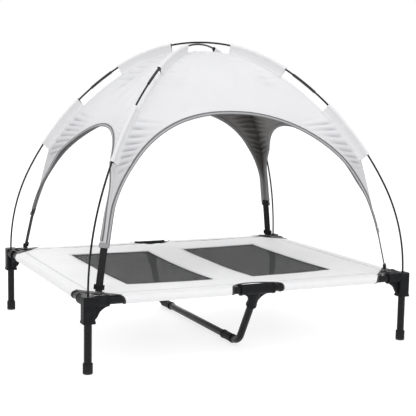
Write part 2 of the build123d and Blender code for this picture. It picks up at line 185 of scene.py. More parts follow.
def place_group(tree, group, **values):
    """A group node with its input values."""
    given = {socket.replace("_", " "): value for socket, value in values.items()}
    return add_node(tree, "ShaderNodeGroup", given, node_tree=group)


def blend(tree, share, first, second):
    """Two colours mixed, all first where share is 0 and all second where it is 1."""
    inks = [ink if isinstance(ink, bpy.types.NodeSocket) else (*ink, 1) for ink in (first, second)]
    return add_node(tree, "ShaderNodeMix", {0: share, 6: inks[0], 7: inks[1]}, data_type="RGBA").outputs[2]


def emboss(tree, shader, height, strength, distance):
    """Fine relief on a finish."""
    relief = add_node(tree, "ShaderNodeBump", {"Strength": strength, "Distance": distance, "Height": height})
    join(tree, relief.outputs["Normal"], shader.inputs["Normal"])


skin_group, skin_in, skin_out = new_group(
    "coated_skin", {"Bump scale": 700.0, "Wear scale": 26.0}, ("Height", "Wear")
)
skin_place = texture_place(skin_group)
skin_bumps = noise(skin_group, skin_place, Scale=skin_in.outputs["Bump scale"], Detail=2.0, Roughness=0.6)
skin_rubs = noise(
    skin_group, skin_place, Scale=skin_in.outputs["Wear scale"], Detail=5.0, Roughness=0.65, Distortion=0.6
)
join(skin_group, skin_bumps, skin_out.inputs["Height"])
join(skin_group, respan(skin_group, skin_rubs, 0.35, 0.72, 0.0, 1.0), skin_out.inputs["Wear"])


def dress_skin(name, colour, worn_colour, smooth, rough, bump, bump_scale, wear_scale, **sockets):
    """A coated or moulded finish: a fine skin, and worn patches that are paler and rougher."""
    material, tree, shader = new_material(name, colour, rough, **sockets)
    skin = place_group(tree, skin_group, Bump_scale=bump_scale, Wear_scale=wear_scale)
    wear = skin.outputs["Wear"]
    join(tree, blend(tree, wear, colour, worn_colour), shader.inputs["Base Color"])
    join(tree, respan(tree, wear, 0, 1, smooth, rough), shader.inputs["Roughness"])
    emboss(tree, shader, skin.outputs["Height"], bump, SKIN_RELIEF)
    return material


def finish_nodes(material, *starts):
    """Gives a material to every frame node whose name starts with one of these words."""
    for name, piece in nodes.items():
        if name.startswith(starts):
            piece.data.materials.clear()
            piece.data.materials.append(material)


powder_coat = dress_skin(
    "black_powder_coat", (0.005, 0.005, 0.006), (0.010, 0.010, 0.0115), 0.22, 0.36, 0.22, 650.0, 30.0,
    Specular_IOR_Level=0.18,
)
finish_nodes(
    powder_coat, "leg_tube", "front_rail", "back_rail", "end_rail", "support_leg", "support_cross_tube"
)

# ---- Corner, tee and coupler mouldings -----------------------------------------------------------
# Black glass-filled nylon, injection moulded with a spark-eroded texture. The tubes push into them,
# and the pole ends drop into a socket in the top of each corner.

moulding = dress_skin(
    "moulded_nylon", (0.007, 0.0072, 0.0085), (0.014, 0.0145, 0.016), 0.42, 0.58, 0.35, 1500.0, 45.0,
    Specular_IOR_Level=0.1,
)
finish_nodes(moulding, "corner_connector", "tee_connector", "support_coupler")

# ---- Foot caps -----------------------------------------------------------------------------------
# Soft black plastic caps pushed on to the legs. The tread is scuffed grey where it meets the floor.

TREAD_HEIGHT = 0.006


def lay_over(material, share, colour):
    """Lays a further colour over a finish, as far as share says."""
    base = material.node_tree.nodes["Principled BSDF"].inputs["Base Color"]
    join(material.node_tree, blend(material.node_tree, share, base.links[0].from_socket, colour), base)


foot_plastic = dress_skin(
    "foot_plastic", (0.011, 0.011, 0.012), (0.025, 0.0245, 0.024), 0.5, 0.68, 0.3, 1100.0, 60.0,
    Specular_IOR_Level=0.1,
)
foot_tree = foot_plastic.node_tree
foot_height = part_of(foot_tree, texture_place(foot_tree), "Z")
lay_over(foot_plastic, respan(foot_tree, foot_height, 0.0, TREAD_HEIGHT, 0.6, 0.0), (0.09, 0.088, 0.085))
finish_nodes(foot_plastic, "foot_cap")

# ---- Deck panel ----------------------------------------------------------------------------------
# One panel of off-white coated Oxford cloth, stretched between the four rails so that it sags a
# little in the middle. It is cut away at the corners, round each tee and at the two mesh windows.

DECK_TOP = 0.1825
DECK_SAG = 0.012
SEAM_INSET = 0.022
CORNER_CUT = (0.074, 0.080)
TEE_CUT_R = 0.0743
TEE_CUT_OFFSET = 0.0386
WINDOW_X = (0.057, 0.298)
WINDOW_Y = 0.232
COLUMN_GAP = 0.007
SEAM_PULL = {"depth": 0.0005, "reach": 0.035, "gap_along": 0.047, "gap_across": 0.043}
DECK_SLACK = 0.0004
DECK_CLOTH = 0.0012
CLOTH_RELIEF = 0.0002


def reckon(tree, operation, *values):
    """One step of arithmetic on values or sockets."""
    return add_node(tree, "ShaderNodeMath", dict(enumerate(values)), operation=operation).outputs[0]


def cloth_steps(tree, scale):
    """The place on the cloth, both ways, times a scale."""
    scaled = {0: texture_place(tree, "UV"), "Scale": scale}
    return add_node(tree, "ShaderNodeVectorMath", scaled, operation="SCALE").outputs[0]


weave_group, weave_in, weave_out = new_group(
    "cloth_weave", {"Thread pitch": 0.0006, "Cloud scale": 9.0}, ("Height", "Cloud")
)
weave_threads = cloth_steps(weave_group, reckon(weave_group, "DIVIDE", 1.0, weave_in.outputs["Thread pitch"]))
weave_check = add_node(weave_group, "ShaderNodeTexChecker", {"Vector": weave_threads, "Scale": 1.0})
rounded_threads = []
for axis in ("X", "Y"):
    turn = reckon(weave_group, "MULTIPLY", part_of(weave_group, weave_threads, axis), pi)
    rounded_threads.append(reckon(weave_group, "ABSOLUTE", reckon(weave_group, "SINE", turn)))
weave_over = {0: weave_check.outputs["Fac"], 2: rounded_threads[0], 3: rounded_threads[1]}
join(weave_group, add_node(weave_group, "ShaderNodeMix", weave_over).outputs[0], weave_out.inputs["Height"])
weave_cloud = noise(
    weave_group, texture_place(weave_group), Scale=weave_in.outputs["Cloud scale"], Detail=4.0, Roughness=0.55
)
join(weave_group, weave_cloud, weave_out.inputs["Cloud"])


def dress_cloth(name, colour, tone_and_shadow_colour, pitch, roughness, bump=0.4, cloud=9.0, **sockets):
    """A woven finish: threads over and under, faint clouds of tone across the cloth, and painted shade in the
    low gaps between threads.
    """
    material, tree, shader = new_material(name, colour, roughness, **sockets)
    weave = place_group(tree, weave_group, Thread_pitch=pitch, Cloud_scale=cloud)
    tone = respan(tree, weave.outputs["Cloud"], 0.3, 0.7, 0.0, 0.8)
    # Painted shade: the cloth is drawn darker in the gaps where threads dip under, mixed with the cloud tone.
    gap = respan(tree, weave.outputs["Height"], 0.0, 0.5, 0.5, 0.0)
    tone_and_gap_shade = reckon(tree, "MAXIMUM", tone, gap)
    join(tree, blend(tree, tone_and_gap_shade, colour, tone_and_shadow_colour), shader.inputs["Base Color"])
    emboss(tree, shader, weave.outputs["Height"], bump, CLOTH_RELIEF)
    return material


def deck_height(x, y):
    """Top of the deck: pulled flat at the rails and lowest in the middle."""
    return DECK_TOP - DECK_SAG * (1 - (x / HALF_L) ** 2) * (1 - (y / HALF_W) ** 2)


def grid_piece(name, points, weave, material, keep=None, crease=None):
    """A smooth sheet over rows and columns of points. weave holds each point's place on the cloth, and
    crease, where given, how deep in a fold each point lies, for painted shade in the folds."""
    rows, columns = points.shape[:2]
    index = np.arange(rows * columns).reshape(rows, columns)
    quads = np.stack([index[:-1, :-1], index[:-1, 1:], index[1:, 1:], index[1:, :-1]], axis=-1)
    quads = quads[keep] if keep is not None else quads.reshape(-1, 4)
    mesh = bpy.data.meshes.new(name)
    mesh.from_pydata(points.reshape(-1, 3).tolist(), [], quads.reshape(-1, 4).tolist())
    corners = np.empty(len(mesh.loops), dtype=int)
    mesh.loops.foreach_get("vertex_index", corners)
    mesh.uv_layers.new(name="UVMap").data.foreach_set("uv", weave.reshape(-1, 2)[corners].ravel())
    if crease is not None:
        mesh.attributes.new("crease", "FLOAT", "POINT").data.foreach_set("value", crease.ravel())
    made = bmesh.new()
    made.from_mesh(mesh)
    bmesh.ops.remove_doubles(made, verts=made.verts, dist=1e-6)
    bmesh.ops.delete(made, geom=[vert for vert in made.verts if not vert.link_faces], context="VERTS")
    made.to_mesh(mesh)
    made.free()
    mesh.shade_smooth()
    mesh.materials.append(material)
    return add_object(name, mesh)


def thicken(piece, thickness):
    """Gives a sheet its thickness, behind its face."""
    wall = piece.modifiers.new("cloth_thickness", "SOLIDIFY")
    wall.thickness = thickness
    wall.offset = -1.0
    return wall


def front_edge(x):
    """How far the deck reaches towards a long rail at each x, round the tee and the corners."""
    edge = np.full_like(x, HALF_W - SEAM_INSET)
    near_tee = np.abs(x) < TEE_CUT_R
    circle = HALF_W + TEE_CUT_OFFSET - np.sqrt(np.maximum(TEE_CUT_R**2 - x**2, 0))
    edge[near_tee] = np.minimum(edge[near_tee], circle[near_tee])
    diagonal = HALF_W - CORNER_CUT[1] * (np.abs(x) - (HALF_L - CORNER_CUT[0])) / CORNER_CUT[0]
    return np.minimum(edge, diagonal)


oxford = dress_cloth(
    "oxford_cloth", (0.79, 0.79, 0.795), (0.74, 0.74, 0.75), 0.0007, 0.62,
    Sheen_Weight=0.1, Sheen_Roughness=0.5,
)
crescent_half = sqrt(TEE_CUT_R**2 - (SEAM_INSET + TEE_CUT_OFFSET) ** 2)
diagonal_start = HALF_L - CORNER_CUT[0] * (1 - SEAM_INSET / CORNER_CUT[1])
x_stops = [-HALF_L + SEAM_INSET, -diagonal_start, -WINDOW_X[1], -WINDOW_X[0], -crescent_half, 0.0]
x_stops += [-stop for stop in reversed(x_stops[:-1])]
column_runs = [
    np.linspace(low, high, max(2, int((high - low) / COLUMN_GAP) + 1))
    for low, high in zip(x_stops, x_stops[1:])
]
column_x = np.unique(np.concatenate(column_runs).round(7))
edge_y = front_edge(column_x)
margin_rows, window_rows = 14, 62
row_y = [-edge_y + (edge_y - WINDOW_Y) * step / margin_rows for step in range(margin_rows)]
row_y += [np.full_like(column_x, y) for y in np.linspace(-WINDOW_Y, WINDOW_Y, window_rows + 1)]
row_y += [WINDOW_Y + (edge_y - WINDOW_Y) * step / margin_rows for step in range(1, margin_rows + 1)]
deck_y = np.array(row_y)
deck_x = np.tile(column_x, (len(deck_y), 1))
from_front, from_side = HALF_W - SEAM_INSET - np.abs(deck_y), HALF_L - SEAM_INSET - np.abs(deck_x)
pull = np.exp(-from_front / SEAM_PULL["reach"]) * np.sin(deck_x * 2 * pi / SEAM_PULL["gap_along"])
pull += np.exp(-from_side / SEAM_PULL["reach"]) * np.sin(deck_y * 2 * pi / SEAM_PULL["gap_across"])
slack = np.sin(deck_x * 19 + 1.3) * np.sin(deck_y * 23 + 0.4) + 0.6 * np.sin(deck_x * 41 - deck_y * 13)
deck_z = deck_height(deck_x, deck_y) + SEAM_PULL["depth"] * pull + DECK_SLACK * slack
middle_x = (column_x[:-1] + column_x[1:]) / 2
inside_window = (np.abs(middle_x) > WINDOW_X[0]) & (np.abs(middle_x) < WINDOW_X[1])
keep = np.ones((len(deck_y) - 1, len(column_x) - 1), dtype=bool)
keep[margin_rows : margin_rows + window_rows, inside_window] = False
deck_points = np.stack([deck_x, deck_y, deck_z], axis=-1)
deck = grid_piece("deck_cloth", deck_points, deck_points[..., :2], oxford, keep)
thicken(deck, DECK_CLOTH)
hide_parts("deck_panel")
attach(deck, "bed")

# ---- Mesh windows --------------------------------------------------------------------------------
# Two panels of charcoal knitted mesh let air through. Each is lapped under the edge of its opening
# and sewn round twice, and its own hem shows as a darker border.

WINDOW_LAP = 0.010
MESH_DROP = 0.0017
MESH_HEM = 0.0065
MESH_HOLE = 0.0024
MESH_RELIEF = 0.0004

mesh_cloth, mesh_tree, mesh_shader = new_material(
    "knitted_mesh", (0.045, 0.045, 0.047), 0.8, Specular_IOR_Level=0.06
)
mesh_steps = cloth_steps(mesh_tree, 1 / MESH_HOLE)
mesh_waves = []
for axis in ("X", "Y"):
    turn = reckon(mesh_tree, "MULTIPLY", part_of(mesh_tree, mesh_steps, axis), 2 * pi)
    mesh_waves.append(reckon(mesh_tree, "COSINE", turn))
mesh_web = reckon(mesh_tree, "MULTIPLY", *mesh_waves)
mesh_solid = respan(mesh_tree, mesh_web, 0.86, 0.92, 1.0, 0.0)
mesh_edge = add_node(mesh_tree, "ShaderNodeAttribute", attribute_name="hem").outputs["Fac"]
mesh_colour = blend(mesh_tree, mesh_edge, (0.046, 0.046, 0.048), (0.018, 0.018, 0.019))
join(mesh_tree, reckon(mesh_tree, "MAXIMUM", mesh_solid, mesh_edge), mesh_shader.inputs["Alpha"])
join(mesh_tree, mesh_colour, mesh_shader.inputs["Base Color"])
emboss(mesh_tree, mesh_shader, mesh_web, 0.5, MESH_RELIEF)

for hand, side in (("left", -1), ("right", 1)):
    across = np.linspace(WINDOW_X[0] - WINDOW_LAP, WINDOW_X[1] + WINDOW_LAP, 60) * side
    upward = np.linspace(-WINDOW_Y - WINDOW_LAP, WINDOW_Y + WINDOW_LAP, 100)
    mesh_x, mesh_y = np.meshgrid(across if side > 0 else across[::-1], upward)
    mesh_points = np.stack([mesh_x, mesh_y, deck_height(mesh_x, mesh_y) - MESH_DROP], axis=-1)
    window = grid_piece(f"mesh_window_cloth_{hand}", mesh_points, mesh_points[..., :2], mesh_cloth)
    coordinates = np.empty(len(window.data.vertices) * 3)
    window.data.vertices.foreach_get("co", coordinates)
    spot_x, spot_y = np.abs(coordinates.reshape(-1, 3)[:, :2]).T
    inset = np.minimum.reduce([spot_x - WINDOW_X[0], WINDOW_X[1] - spot_x, WINDOW_Y - spot_y])
    hem = window.data.attributes.new("hem", "FLOAT", "POINT")
    hem.data.foreach_set("value", (inset < MESH_HEM).astype(float))
    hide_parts(f"mesh_window_{hand}")
    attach(window, "bed")

# ---- Tube sleeves --------------------------------------------------------------------------------
# The deck is hung from sleeves of the same cloth, each wrapped round its rail and sewn back to the
# deck. The end rails have one each, and the long rails two, cut back on a curve round the tee.

SLEEVE_R = 0.0111
SLEEVE_FLAP = 0.027
SLEEVE_CLOTH = 0.0011
FLAP_GAP = 0.0016
FLAP_LIFT = 0.0004
PUCKER = 0.0003


def walked_along(points):
    """Distance walked along a line to each of its points."""
    return np.concatenate([[0], np.cumsum(np.linalg.norm(np.diff(points, axis=0), axis=1))])


def sleeve_section(count=34):
    """Half-teardrop round a rail, from the seam on top, over and under, back to the seam: each point's
    outward distance from the rail's axis and height above it, with the way its face looks."""
    drop = SLEEVE_R - FLAP_GAP
    seam_angle = np.arctan2(drop, -SLEEVE_FLAP)
    low = seam_angle + np.arccos(SLEEVE_R / hypot(drop, SLEEVE_FLAP)) - 2 * pi
    flap = [(-SLEEVE_FLAP * (1 - step / 6), SLEEVE_R, 0.0, 1.0) for step in range(6)]
    turns = np.linspace(pi / 2, low, count)
    wrap = [(SLEEVE_R * cos(turn), SLEEVE_R * sin(turn), cos(turn), sin(turn)) for turn in turns]
    out, height, face_out, face_up = wrap[-1]
    back = [
        (out + (-SLEEVE_FLAP - out) * step / 5, height + (drop - height) * step / 5, face_out, face_up)
        for step in range(1, 6)
    ]
    return np.array(flap + wrap + back)


def sleeve_end(kind, out, height):
    """Distance of a sleeve's cut end from the middle of its rail, at each place round the section."""
    if kind == "tee":
        return np.sqrt(np.maximum(TEE_CUT_R**2 - (TEE_CUT_OFFSET - out) ** 2, 0))
    base, span, half = {
        "long": (CORNER_CUT[0], CORNER_CUT[0] / CORNER_CUT[1], HALF_L),
        "short": (CORNER_CUT[1], CORNER_CUT[1] / CORNER_CUT[0], HALF_W),
    }[kind]
    under = np.clip(-height / SLEEVE_R + 0.2, 0, 1)
    return half - base - span * (out * (1 - under) + SLEEVE_R * 1.3 * under)


def sleeve_cloth(rail, start, end, lift=0.0, rows=110):
    """Points of a sleeve on a rail ("front", "back", "left", "right") between two ends, and the cloth
    place of each. start and end are distances along the rail, one for each point of the section."""
    section = sleeve_section()
    out, height, face_out, face_up = section.T
    step = np.linspace(0, 1, rows)[:, None]
    along = start * (1 - step) + end * step
    pucker = PUCKER * np.sin(along * 2 * pi / 0.031 + 2 * np.sin(along * 37)) * np.clip(face_out + 0.3, 0, 1)
    pucker += PUCKER * np.sin(along * 2 * pi / 0.013 + height * 300) * np.exp(-np.abs(out + 0.016) / 0.006)
    spread = out + face_out * (pucker + lift)
    raise_by = height + face_up * (pucker + lift)
    if rail in ("front", "back"):
        sign = -1 if rail == "front" else 1
        x, y = along, sign * (HALF_W + spread)
    else:
        sign = -1 if rail == "left" else 1
        x, y = sign * (HALF_L + spread), along
    x, y = np.broadcast_arrays(x, y)
    settle = np.where(out < 0, deck_height(x, y) - DECK_TOP, 0)
    z = RAIL_HEIGHT + raise_by + settle
    z = np.where((out < -0.0005) & (face_up == 1.0), z + FLAP_LIFT, z)
    walked = walked_along(section[:, :2])
    cloth = np.stack([along, np.broadcast_to(walked, along.shape)], axis=-1)
    return np.stack([x, y, z], axis=-1), cloth


def facing(rail):
    """True where a sleeve's rows have to be turned over for its faces to look outwards."""
    return rail in ("back", "left")


section = sleeve_section()
corner_long = sleeve_end("long", section[:, 0], section[:, 1])
corner_short = sleeve_end("short", section[:, 0], section[:, 1])
tee_cut = sleeve_end("tee", section[:, 0], section[:, 1])
sleeve_runs = []
for rail, node in (("front", "long_sleeve_front"), ("back", "long_sleeve_back")):
    sleeve_runs.append((rail, f"{rail}_left", node, -corner_long, -tee_cut, 0.31))
    sleeve_runs.append((rail, f"{rail}_right", node, tee_cut, corner_long, 0.31))
for rail in ("left", "right"):
    sleeve_runs.append((rail, rail, f"end_sleeve_{rail}", -corner_short, corner_short, 0.565))
sleeve_pieces = {}
for rail, name, node, start, end, length in sleeve_runs:
    points, cloth = sleeve_cloth(rail, start, end)
    if facing(rail):
        points, cloth = points[::-1], cloth[::-1]
    sleeve = grid_piece(f"tube_sleeve_{name}", points, cloth, oxford)
    thicken(sleeve, SLEEVE_CLOTH)
    sleeve_pieces.setdefault(node, []).append(sleeve)
    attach(sleeve, "bed")
for node, found in sleeve_pieces.items():
    for sleeve in found:
        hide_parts(node)

# ---- Black edge tape -----------------------------------------------------------------------------
# Woven tape folded over the raw edges of the deck: round each sleeve's open end, and along the two
# crescents where the deck is cut back round a tee.

TAPE_WIDTH = 0.0045
TAPE = 0.0005
TAPE_INSET = 0.0005
SLEEVE_STAND = 0.0009
CRESCENT_STAND = 0.0010

tape_cloth = dress_cloth(
    "black_tape", (0.014, 0.014, 0.015), (0.006, 0.006, 0.006), 0.0009, 0.75, Sheen_Weight=0.25
)


def cloth_places(along, across):
    """Each point's place on the cloth, from a line along it and a line across it."""
    return np.stack(np.meshgrid(walked_along(along), walked_along(across), indexing="ij"), axis=-1)


def folded_tape(name, path, inward, face, width, stand, material):
    """Tape folded over an edge. path runs along the edge, inward points into the cloth and face is
    the way the cloth looks, one of each for every point."""
    top = [(width, stand), (width * 0.66, stand), (width * 0.33, stand * 1.08), (0, stand)]
    top.append((-stand * 0.8, stand * 0.6))
    under = [(-stand * 0.8, -stand * 0.6), (0, -stand), (width * 0.33, -stand * 1.08), (width, -stand)]
    fold = [*top, (-stand, 0), *under]
    points = np.stack([path + inward * over + face * up for over, up in fold], axis=1)
    return grid_piece(name, points[:, ::-1], cloth_places(path, fold)[:, ::-1], material)


def unit(vectors):
    """The same vectors with length 1."""
    return vectors / np.linalg.norm(vectors, axis=-1, keepdims=True)


tapes = []
for rail, name, _, start, end, _ in sleeve_runs:
    points = sleeve_cloth(rail, start, end)[0]
    raised = sleeve_cloth(rail, start, end, lift=0.001)[0]
    for place, (edge, inner) in {"low": (0, 1), "high": (-1, -2)}.items():
        inward = unit(points[inner] - points[edge])
        face = unit(raised[edge] - points[edge])
        path = points[edge] - face * TAPE_INSET
        if (place == "low") != facing(rail):
            path, inward, face = path[::-1], inward[::-1], face[::-1]
        tape_name = f"sleeve_tape_{name}_{place}"
        tapes.append(folded_tape(tape_name, path, inward, face, TAPE_WIDTH, SLEEVE_STAND, tape_cloth))
for rail, sign in (("front", -1), ("back", 1)):
    reach_angle = np.arcsin(crescent_half / TEE_CUT_R)
    turns = np.linspace(-reach_angle, reach_angle, 40) * sign
    arc_x = TEE_CUT_R * np.sin(turns)
    arc_y = sign * (HALF_W + TEE_CUT_OFFSET - TEE_CUT_R * np.cos(turns))
    path = np.stack([arc_x, arc_y, deck_height(arc_x, arc_y) - DECK_CLOTH / 2], axis=-1)
    inward = np.stack([np.sin(turns), -sign * np.cos(turns), 0 * turns], axis=-1)
    face = np.tile((0.0, 0.0, 1.0), (len(turns), 1))
    tape_name = f"crescent_tape_{rail}"
    tapes.append(folded_tape(tape_name, path, inward, face, TAPE_WIDTH, CRESCENT_STAND, tape_cloth))
for tape in tapes:
    thicken(tape, TAPE)
    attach(tape, "bed")

# ---- Corner patches ------------------------------------------------------------------------------
# A black triangle of doubled Oxford cloth fills each corner of the deck between the moulding's arms,
# sewn to the deck along its long edge, and holds the strap's anchor tab.

CORNERS = {"fl": (-1, -1), "fr": (1, -1), "bl": (-1, 1), "br": (1, 1)}
PATCH_TOP = 0.1836
PATCH_CLOTH = 0.0012
PATCH_RIPPLE = 0.0004

patch_cloth = dress_cloth(
    "black_oxford", (0.013, 0.013, 0.014), (0.007, 0.007, 0.008), 0.0008, 0.68, Sheen_Weight=0.2
)


def along_line(stops, count):
    """Points evenly spaced along a broken line."""
    stops = np.array(stops, dtype=float)
    walked = walked_along(stops)
    places = np.linspace(0, walked[-1], count)
    return np.stack([np.interp(places, walked, stops[:, axis]) for axis in range(stops.shape[1])], axis=-1)


inner_edge = along_line(
    [(0.053, -0.001), (0.053, 0.0155), (0.0155, 0.0155), (0.0155, 0.053), (-0.001, 0.053)], 49
)
long_edge = along_line([(0.084, -0.001), (-0.001, 0.094)], 49)
for corner, (side_x, side_y) in CORNERS.items():
    share = np.linspace(0, 1, 16)[:, None, None]
    plan = inner_edge[None] * (1 - share) + long_edge[None] * share
    patch_x = side_x * (HALF_L - plan[..., 0])
    patch_y = side_y * (HALF_W - plan[..., 1])
    settle = deck_height(patch_x, patch_y) - DECK_TOP
    ripple = PATCH_RIPPLE * np.sin(plan[..., 0] * 140) * np.sin(plan[..., 1] * 110 + side_x)
    patch_z = PATCH_TOP + settle + ripple * (1 - share[..., 0])
    points = np.stack([patch_x, patch_y, patch_z], axis=-1)
    if side_x * side_y > 0:
        points, plan = points[::-1], plan[::-1]
    patch = grid_piece(f"corner_patch_cloth_{corner}", points, plan, patch_cloth)
    thicken(patch, PATCH_CLOTH)
    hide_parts(f"corner_patch_{corner}")
    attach(patch, "bed")

# ---- Deck stitching ------------------------------------------------------------------------------
# Lockstitch in pale thread: two rows along every sleeve seam and round every window. Two rows in
# black thread run along the long edge of each corner patch.

SEAM_ROWS = (0.0235, 0.0258)
SEAM_LIFT = 0.0008
WINDOW_ROWS = (0.003, 0.0078)
PATCH_ROWS = (0.0035, 0.0065)
PATCH_INWARD = np.array([0.745, 0.667])
CLOTH_LIFT = 0.0002

thread_tree = bpy.data.node_groups.new("lockstitch", "GeometryNodeTree")
thread_tree.interface.new_socket("Seam lines", in_out="INPUT", socket_type="NodeSocketGeometry")
for socket, value in (("Stitch pitch", 0.004), ("Stitch length", 0.003), ("Thread radius", 0.0004)):
    made = thread_tree.interface.new_socket(socket, in_out="INPUT", socket_type="NodeSocketFloat")
    made.default_value = value
thread_tree.interface.new_socket("Thread", in_out="INPUT", socket_type="NodeSocketMaterial")
thread_tree.interface.new_socket("Stitches", in_out="OUTPUT", socket_type="NodeSocketGeometry")
thread_in = thread_tree.nodes.new("NodeGroupInput")
thread_out = thread_tree.nodes.new("NodeGroupOutput")
thread_curve = add_node(thread_tree, "GeometryNodeMeshToCurve", {"Mesh": thread_in.outputs["Seam lines"]})
thread_points = add_node(
    thread_tree, "GeometryNodeCurveToPoints",
    {"Curve": thread_curve.outputs["Curve"], "Length": thread_in.outputs["Stitch pitch"]}, mode="LENGTH",
)
thread_bead = add_node(thread_tree, "GeometryNodeMeshUVSphere", {"Segments": 6, "Rings": 4, "Radius": 1.0})
thread_turn = add_node(
    thread_tree, "FunctionNodeAlignRotationToVector", {"Vector": thread_points.outputs["Tangent"]}, axis="X"
)
thread_half = reckon(thread_tree, "MULTIPLY", thread_in.outputs["Stitch length"], 0.5)
thread_radius = thread_in.outputs["Thread radius"]
thread_size = add_node(
    thread_tree, "ShaderNodeCombineXYZ", {"X": thread_half, "Y": thread_radius, "Z": thread_radius}
)
thread_copies = add_node(
    thread_tree, "GeometryNodeInstanceOnPoints",
    {
        "Points": thread_points.outputs["Points"], "Instance": thread_bead.outputs["Mesh"],
        "Rotation": thread_turn.outputs["Rotation"], "Scale": thread_size.outputs["Vector"],
    },
)
stitch_shapes = thread_copies.outputs["Instances"]
for step in ("RealizeInstances", "SetShadeSmooth", "SetMaterial"):
    made = add_node(thread_tree, f"GeometryNode{step}", {"Geometry": stitch_shapes})
    stitch_shapes = made.outputs["Geometry"]
join(thread_tree, thread_in.outputs["Thread"], made.inputs["Material"])
join(thread_tree, stitch_shapes, thread_out.inputs["Stitches"])


def dress_thread(name, colour):
    """Twisted polyester thread: slightly glossy, with a fine ply."""
    material, tree, shader = new_material(name, colour, 0.45)
    ply = noise(tree, texture_place(tree), Scale=1800.0, Detail=2.0)
    join(tree, respan(tree, ply, 0, 1, 0.35, 0.6), shader.inputs["Roughness"])
    emboss(tree, shader, ply, 0.5, CLOTH_RELIEF)
    return material


def sew(name, runs, thread, body, slot, pitch=0.004, length=0.003, radius=0.0004):
    """Stitches along broken lines, made a plain mesh that rides on a body."""
    points, edges = [], []
    for run in runs:
        first = len(points)
        points += [tuple(point) for point in run]
        edges += [(first + step, first + step + 1) for step in range(len(run) - 1)]
    lines = bpy.data.meshes.new(name)
    lines.from_pydata(points, edges, [])
    guide = add_object(f"{name}_lines", lines)
    rule = guide.modifiers.new("lockstitch", "NODES")
    rule.node_group = thread_tree
    values = {"Stitch pitch": pitch, "Stitch length": length, "Thread radius": radius, "Thread": thread}
    for item in thread_tree.interface.items_tree:
        if item.in_out == "INPUT" and item.name in values:
            rule[item.identifier] = values[item.name]
    bpy.context.view_layer.update()
    shaped = guide.evaluated_get(bpy.context.evaluated_depsgraph_get())
    mesh = bpy.data.meshes.new_from_object(shaped)
    bpy.data.objects.remove(guide)
    mesh.name = name
    stitches = add_object(name, mesh)
    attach(stitches, body)
    return stitches


def on_deck(stops, lift, count=160):
    """A line across the deck, just above the cloth."""
    line = along_line(stops, count)
    return np.column_stack([line, deck_height(line[:, 0], line[:, 1]) + lift])


pale_thread = dress_thread("pale_thread", (0.62, 0.62, 0.63))
black_thread = dress_thread("black_thread", (0.02, 0.02, 0.021))
deck_rows = []
from_tee, to_corner = crescent_half + 0.012, diagonal_start - 0.016
reach_y = HALF_W - CORNER_CUT[1] * (1 - SEAM_INSET / CORNER_CUT[0]) - 0.018
for inset in SEAM_ROWS:
    seam_y, seam_x = HALF_W - inset, HALF_L - inset
    for sign in (-1, 1):
        for hand in (-1, 1):
            row = [(hand * from_tee, sign * seam_y), (hand * to_corner, sign * seam_y)]
            deck_rows.append(on_deck(row, SEAM_LIFT))
        deck_rows.append(on_deck([(sign * seam_x, -reach_y), (sign * seam_x, reach_y)], SEAM_LIFT))
for margin in WINDOW_ROWS:
    low_x, high_x, end_y = WINDOW_X[0] - margin, WINDOW_X[1] + margin, WINDOW_Y + margin
    for sign in (-1, 1):
        loop = [(low_x, -end_y), (high_x, -end_y), (high_x, end_y), (low_x, end_y), (low_x, -end_y)]
        deck_rows.append(on_deck([(sign * x, y) for x, y in loop], CLOTH_LIFT, 400))
sew("deck_stitches", deck_rows, pale_thread, "bed", "deck_cloth")
patch_rows = []
for side_x, side_y in CORNERS.values():
    for inset in PATCH_ROWS:
        row = long_edge[3:-3] - inset * PATCH_INWARD
        spots = np.column_stack([side_x * (HALF_L - row[:, 0]), side_y * (HALF_W - row[:, 1])])
        settle = deck_height(spots[:, 0], spots[:, 1]) - DECK_TOP
        patch_rows.append(np.column_stack([spots, PATCH_TOP + settle + CLOTH_LIFT]))
sew("patch_stitches", patch_rows, black_thread, "bed", "reinforcement")

# ---- Canopy poles --------------------------------------------------------------------------------
# Two crossed poles of pultruded black fibreglass rod, each in three sections joined by metal
# ferrules. They are flexed from straight, and their ends drop into the corner sockets.

DIAGONAL = hypot(HALF_L, HALF_W)
POLE_APEX = 0.789
CROSSING_STEP = 0.0028
TOP_R = 0.440
BEND_LIMITS = (33.0, 62.3)
SOCKET_SEAT = 0.185

fibreglass = dress_skin(
    "fibreglass_rod", (0.007, 0.007, 0.008), (0.012, 0.012, 0.013), 0.22, 0.38, 0.15, 900.0, 50.0,
    Specular_IOR_Level=0.22,
)
ferrule_metal = dress_skin(
    "ferrule_metal", (0.010, 0.010, 0.011), (0.03, 0.03, 0.032), 0.28, 0.42, 0.12, 900.0, 70.0,
    Specular_IOR_Level=0.4,
)
finish_nodes(fibreglass, "pole_end", "pole_middle")
finish_nodes(ferrule_metal, "pole_ferrules")


def pole_bow(apex):
    """Half of a flexed pole: three tangent arcs from level at the crossing to upright at the socket.
    Gives its points by the slope there, or points inside it, as distance out and height."""
    first, second = (radians(limit) for limit in BEND_LIMITS)
    run = DIAGONAL - TOP_R * sin(first)
    fall = apex - SOCKET_SEAT - TOP_R * (1 - cos(first))
    run_2, run_3 = sin(second) - sin(first), 1 - sin(second)
    fall_2, fall_3 = cos(first) - cos(second), cos(second)
    scale = run_2 * fall_3 - run_3 * fall_2
    shoulder_r = (run * fall_3 - run_3 * fall) / scale
    skirt_r = (run_2 * fall - run * fall_2) / scale
    centre = np.array((0.0, apex - TOP_R))
    centres = [centre]
    for before, after, turn in ((TOP_R, shoulder_r, first), (shoulder_r, skirt_r, second)):
        centre = centre + np.array((sin(turn), cos(turn))) * (before - after)
        centres.append(centre)
    radii = np.array((TOP_R, shoulder_r, skirt_r))
    centres = np.array(centres)

    def points(slopes, inside=0.0):
        slopes = np.atleast_1d(slopes).astype(float)
        arc = np.digitize(slopes, BEND_LIMITS)
        turn = np.radians(slopes)
        away = np.stack([np.sin(turn), np.cos(turn)], axis=-1)
        return centres[arc] + away * (radii[arc] - inside)[..., None]

    return points


